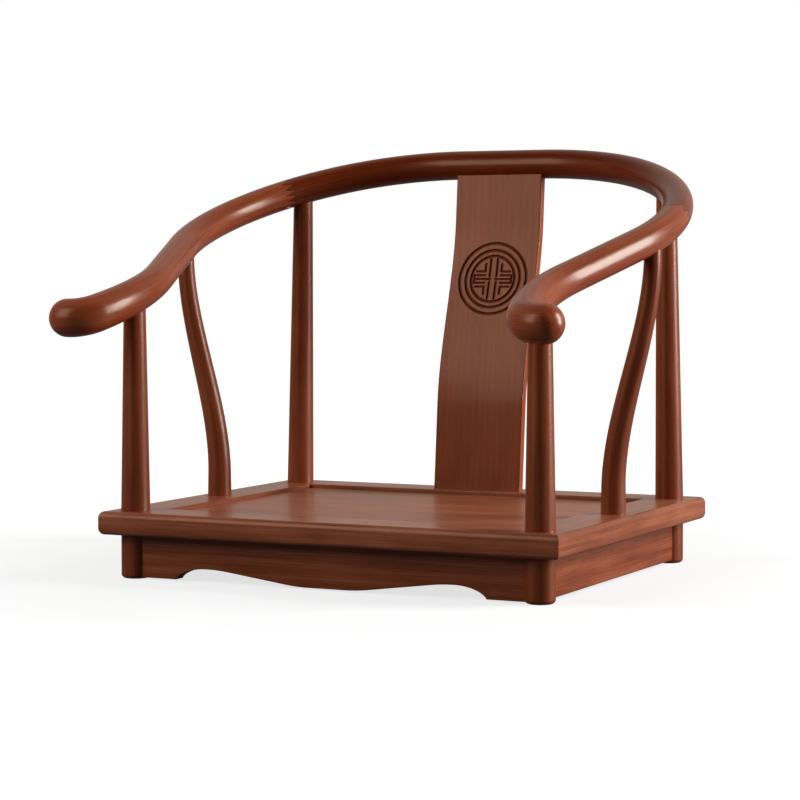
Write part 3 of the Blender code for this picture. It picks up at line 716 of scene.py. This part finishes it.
TONES = {
    "crest": ((0.112, 0.014, 0.003), (0.152, 0.021, 0.004), (0.205, 0.033, 0.008)),
    "arm": ((0.196, 0.032, 0.009), (0.264, 0.050, 0.015), (0.334, 0.076, 0.027)),
    "post": ((0.140, 0.024, 0.006), (0.198, 0.039, 0.011), (0.268, 0.061, 0.020)),
    "splat": ((0.195, 0.031, 0.007), (0.260, 0.046, 0.011), (0.324, 0.068, 0.020)),
    "frame": ((0.132, 0.027, 0.008), (0.226, 0.059, 0.024), (0.330, 0.107, 0.052)),
    "panel": ((0.180, 0.041, 0.015), (0.275, 0.073, 0.031), (0.365, 0.113, 0.054)),
    "apron": ((0.128, 0.023, 0.007), (0.218, 0.048, 0.017), (0.316, 0.088, 0.037)),
}
ROUGHNESS = {
    "crest": 0.28,
    "arm": 0.29,
    "post": 0.36,
    "splat": 0.36,
    "frame": 0.34,
    "panel": 0.42,
    "apron": 0.28,
}
BARE_TONES = ((0.150, 0.060, 0.028), (0.230, 0.110, 0.060), (0.310, 0.170, 0.100))
BARE_ROUGHNESS = 0.55


def heart_offset(index):
    return np.array(HEART_START) + np.array(HEART) * index


def add(tree, kind, inputs=None, **settings):
    """A new node, whose inputs are given as values, or as sockets to link."""
    made = tree.nodes.new(kind)
    for key, value in settings.items():
        setattr(made, key, value)
    for key, value in (inputs or {}).items():
        if isinstance(value, bpy.types.NodeSocket):
            tree.links.new(value, made.inputs[key])
        else:
            made.inputs[key].default_value = value
    return made


def math_node(tree, operation, first, second):
    return add(tree, "ShaderNodeMath", {0: first, 1: second}, operation=operation).outputs[0]


def vector_node(tree, operation, inputs):
    return add(tree, "ShaderNodeVectorMath", inputs, operation=operation)


def spread(tree, value, low, high, to_low, to_high):
    names = {"Value": value, "From Min": low, "From Max": high, "To Min": to_low, "To Max": to_high}
    return add(tree, "ShaderNodeMapRange", names).outputs[0]


def two_tones(tree, share, first, second):
    ramp = add(tree, "ShaderNodeValToRGB", {"Fac": share})
    ramp.color_ramp.elements[0].color = (*first, 1)
    ramp.color_ramp.elements[1].color = (*second, 1)
    return ramp.outputs[0]


def stretched_noise(tree, grain, along, across, detail):
    """Noise with this many features a metre along the grain and across it."""
    scaled = vector_node(tree, "MULTIPLY", {0: grain, 1: (along, across, across)}).outputs[0]
    inputs = {"Vector": scaled, "Scale": 1.0, "Detail": detail, "Roughness": NOISE_ROUGHNESS}
    return add(tree, "ShaderNodeTexNoise", inputs).outputs[0]


def growth_rings(tree, grain):
    scaled = vector_node(tree, "MULTIPLY", {0: grain, 1: (RING_STRETCH, 1.0, 1.0)}).outputs[0]
    inputs = {"Vector": scaled, "Scale": WAVE_PERIOD / RING_SPACING, **RING_WAVER}
    wave = add(tree, "ShaderNodeTexWave", inputs, wave_type="RINGS", rings_direction="X", wave_profile="SIN")
    return wave.outputs[1]


def wood_grain(tree, own_grain):
    """Place in the wood: along the grain, across it, and square to both."""
    if own_grain:
        return add(tree, "ShaderNodeAttribute", attribute_name="grain").outputs["Vector"]
    place = add(tree, "ShaderNodeTexCoord").outputs["Object"]
    return add(tree, "ShaderNodeMapping", {"Vector": place, "Rotation": (0, 0, math.pi / 2)}).outputs[0]


def wood_colour(tree, tones, grain, fibres, pores, carved):
    """Tones that follow the figure, darker in pores, with painted shade in the carving, and lighter on worn
    edges.
    """
    clouds = stretched_noise(tree, grain, *CLOUDS)
    figure = math_node(tree, "MULTIPLY", growth_rings(tree, grain), RING_SHARE)
    figure = math_node(tree, "ADD", figure, math_node(tree, "MULTIPLY", fibres, FIBRE_SHARE))
    figure = math_node(tree, "ADD", figure, math_node(tree, "MULTIPLY", clouds, CLOUD_SHARE))
    ramp = add(tree, "ShaderNodeValToRGB", {"Fac": spread(tree, figure, *FIGURE_RANGE, 0.0, 1.0)})
    stops = ramp.color_ramp.elements
    stops.new(0.5)
    for stop, tone in zip(stops, tones):
        stop.color = (*tone, 1.0)
    darker = spread(tree, pores, 0.0, 1.0, 1.0, PORE_SHADE)
    worn = add(tree, "ShaderNodeNewGeometry").outputs["Pointiness"]
    lighter = spread(tree, worn, *WORN_RANGE, 1.0, WORN_LIGHT)
    # painted shade in the carving: the colour darkens with the depth of the cut
    carving_shade = two_tones(tree, carved, WHITE, CARVING_PAINTED_SHADE)
    colour = vector_node(tree, "SCALE", {0: ramp.outputs[0], 3: darker}).outputs[0]
    colour = vector_node(tree, "SCALE", {0: colour, 3: lighter}).outputs[0]
    return vector_node(tree, "MULTIPLY", {0: colour, 1: carving_shade}).outputs[0]


def wood(name, tones, roughness, coat, own_grain=True):
    """Wood with growth rings, fibres, pores and clouding, under a lacquer."""
    material = bpy.data.materials.new(name)
    material.use_nodes = True
    tree = material.node_tree
    grain = wood_grain(tree, own_grain)
    fibres = stretched_noise(tree, grain, *FIBRES)
    pores = spread(tree, stretched_noise(tree, grain, *PORES), *PORE_RANGE, 0.0, 1.0)
    carved = add(tree, "ShaderNodeAttribute", attribute_name="carved").outputs["Fac"]
    gloss = spread(tree, fibres, *FIBRE_RANGE, *(roughness + change for change in FIBRE_GLOSS))
    gloss = math_node(tree, "ADD", gloss, math_node(tree, "MULTIPLY", carved, CARVING_DULL))
    relief = math_node(tree, "SUBTRACT", math_node(tree, "MULTIPLY", fibres, FIBRE_RELIEF), pores)
    bump = {"Height": relief, "Strength": RELIEF_STRENGTH, "Distance": RELIEF_DEPTH}
    sockets = tree.nodes["Principled BSDF"].inputs
    tree.links.new(wood_colour(tree, tones, grain, fibres, pores, carved), sockets["Base Color"])
    tree.links.new(gloss, sockets["Roughness"])
    tree.links.new(add(tree, "ShaderNodeBump", bump).outputs[0], sockets["Normal"])
    sockets["Coat Weight"].default_value = coat
    sockets["Coat Roughness"].default_value = COAT_ROUGHNESS
    sockets["Specular IOR Level"].default_value = LACQUER_SPECULAR
    sockets["Specular Tint"].default_value = (*LACQUER_TINT, 1)
    return material


# Studio

WARM = (1.0, 0.90, 0.75)
GLOW_TINT = (1.0, 0.90, 0.80)
BRIGHT_SIDE = Vector((-0.30, 0.90, 0.30)).normalized()
GLOW_SPAN = (0.1, 0.95)  # cosines to the bright side at the backdrop's dim edge and bright middle
GLOW = (0.02, 0.54)
GLOW_LIGHT = 0.5  # share of the glow that lights the chair
FLOOR_SIZE = 60.0
FLOOR_TONE = 0.30
FLOOR_BOUNCE = 0.12
FLOOR_GLOW = 0.74
FLOOR_FADE = (0.5, 1.6)  # distances between which the floor turns white
FLOOR_SHEEN = 0.12
FLOOR_SHEEN_SPAN = (-0.5, 1.0)  # distances towards the bright side
FLOOR_ROUGHNESS = 0.9
FLOOR_SPECULAR = 0.1
CAMERA_AZIMUTH = math.radians(26.043)
CAMERA_PITCH = math.radians(3.330)
CAMERA_ROLL = math.radians(-0.068)
CAMERA_PLACE = Vector((1.3396, -2.7699 + MIDDLE_Y, 0.388))
CAMERA_LENS = 112.91  # millimetres on a sensor 36 wide
LAMPS = (  # place, width, height, watts, colour, and whether it lights the surface and is mirrored in it
    ((3.00, 1.20, 1.30), 1.1, 2.2, 158.0, WHITE, True, True),
    ((-1.9, -1.7, 1.7), 2.0, 2.0, 58.0, WHITE, True, False),
    ((-1.05, -2.0, 1.30), 1.0, 1.66, 16.5, WARM, False, True),
)


def mirrored_ray(tree, ray):
    return math_node(tree, "MAXIMUM", ray["Is Glossy Ray"], ray["Is Transmission Ray"])


def studio_world():
    world = bpy.data.worlds.new("studio")
    bpy.context.scene.world = world
    world.use_nodes = True
    tree = world.node_tree
    ray = add(tree, "ShaderNodeLightPath").outputs
    direction = add(tree, "ShaderNodeTexCoord").outputs["Generated"]
    facing = vector_node(tree, "DOT_PRODUCT", {0: direction, 1: BRIGHT_SIDE}).outputs["Value"]
    glow = spread(tree, facing, *GLOW_SPAN, *GLOW)
    mirrored = math_node(tree, "MULTIPLY", mirrored_ray(tree, ray), glow)
    seen = math_node(tree, "MAXIMUM", ray["Is Camera Ray"], mirrored)
    strength = math_node(tree, "MAXIMUM", seen, math_node(tree, "MULTIPLY", glow, GLOW_LIGHT))
    sockets = tree.nodes["Background"].inputs
    tree.links.new(strength, sockets["Strength"])
    tree.links.new(two_tones(tree, ray["Is Camera Ray"], GLOW_TINT, WHITE), sockets["Color"])


def floor_material():
    material = bpy.data.materials.new("pale_floor")
    material.use_nodes = True
    tree = material.node_tree
    ray = add(tree, "ShaderNodeLightPath").outputs
    tone = spread(tree, ray["Is Camera Ray"], 0.0, 1.0, FLOOR_BOUNCE, FLOOR_TONE)
    place = add(tree, "ShaderNodeNewGeometry").outputs["Position"]
    away = vector_node(tree, "LENGTH", {0: place}).outputs["Value"]
    glow = spread(tree, away, *FLOOR_FADE, FLOOR_GLOW, 1.0)
    facing = vector_node(tree, "DOT_PRODUCT", {0: place, 1: BRIGHT_SIDE}).outputs["Value"]
    sheen = spread(tree, facing, *FLOOR_SHEEN_SPAN, 0.0, FLOOR_SHEEN)
    seen = math_node(tree, "MULTIPLY", ray["Is Camera Ray"], glow)
    mirrored = math_node(tree, "MULTIPLY", mirrored_ray(tree, ray), sheen)
    sockets = tree.nodes["Principled BSDF"].inputs
    tree.links.new(tone, sockets["Base Color"])
    tree.links.new(math_node(tree, "MAXIMUM", seen, mirrored), sockets["Emission Strength"])
    sockets["Emission Color"].default_value = (*WHITE, 1)
    sockets["Roughness"].default_value = FLOOR_ROUGHNESS
    sockets["Specular IOR Level"].default_value = FLOOR_SPECULAR
    return material


def studio_floor():
    bm = bmesh.new()
    bmesh.ops.create_grid(bm, x_segments=1, y_segments=1, size=FLOOR_SIZE / 2)
    floor = piece_of(bm, "floor")
    floor.data.materials.append(floor_material())


def studio_lamps():
    for index, (place, width, height, watts, colour, lights, mirrored) in enumerate(LAMPS):
        light = bpy.data.lights.new(f"softbox_{index}", "AREA")
        light.shape = "RECTANGLE"
        light.size = width
        light.size_y = height
        light.energy = watts
        light.color = colour
        lamp = bpy.data.objects.new(light.name, light)
        lamp.location = place
        lamp.visible_diffuse = lights
        lamp.visible_glossy = mirrored
        aim = Vector((0, MIDDLE_Y, SEAT_TOP + RAIL_RISE / 2)) - lamp.location
        lamp.rotation_euler = aim.to_track_quat("-Z", "Y").to_euler()
        bpy.context.scene.collection.objects.link(lamp)


def studio_camera():
    camera = bpy.data.objects.new("camera", bpy.data.cameras.new("camera"))
    camera.data.lens = CAMERA_LENS
    turn = Matrix.Rotation(CAMERA_AZIMUTH, 4, "Z") @ Matrix.Rotation(math.pi / 2 - CAMERA_PITCH, 4, "X")
    camera.matrix_world = Matrix.Translation(CAMERA_PLACE) @ turn @ Matrix.Rotation(CAMERA_ROLL, 4, "Z")
    bpy.context.scene.collection.objects.link(camera)
    bpy.context.scene.camera = camera


# Assembly


def main():
    finish = {}
    for name, tones in TONES.items():
        finish[name] = wood(f"{name}_wood", tones, ROUGHNESS[name], COAT)
    bare = wood("bare_wood", BARE_TONES, BARE_ROUGHNESS, 0.0, own_grain=False)
    crest_back(finish["crest"])
    for word, side in SIDES.items():
        crest_arm(word, side, finish["arm"])
        side_post(word, side, finish["post"])
        for end in POST_YS:
            corner_post(end, word, side, finish["post"])
    back_splat(finish["splat"])
    quarter = math.pi / 2
    seat_rail("front", OPENING_X, OPENING_Y, 0.0, finish["frame"])
    seat_rail("back", OPENING_X, OPENING_Y, 2 * quarter, finish["frame"])
    seat_rail("right", OPENING_Y, OPENING_X, quarter, finish["frame"])
    seat_rail("left", OPENING_Y, OPENING_X, -quarter, finish["frame"])
    seat_panel(finish["panel"])
    aprons(finish["apron"])
    for node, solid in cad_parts.items():
        if "batten" in node or "dowel" in node:
            solid.data.materials.clear()
            solid.data.materials.append(bare)
    studio_world()
    studio_floor()
    studio_lamps()
    studio_camera()
    bpy.context.scene.view_settings.view_transform = "Standard"


main()
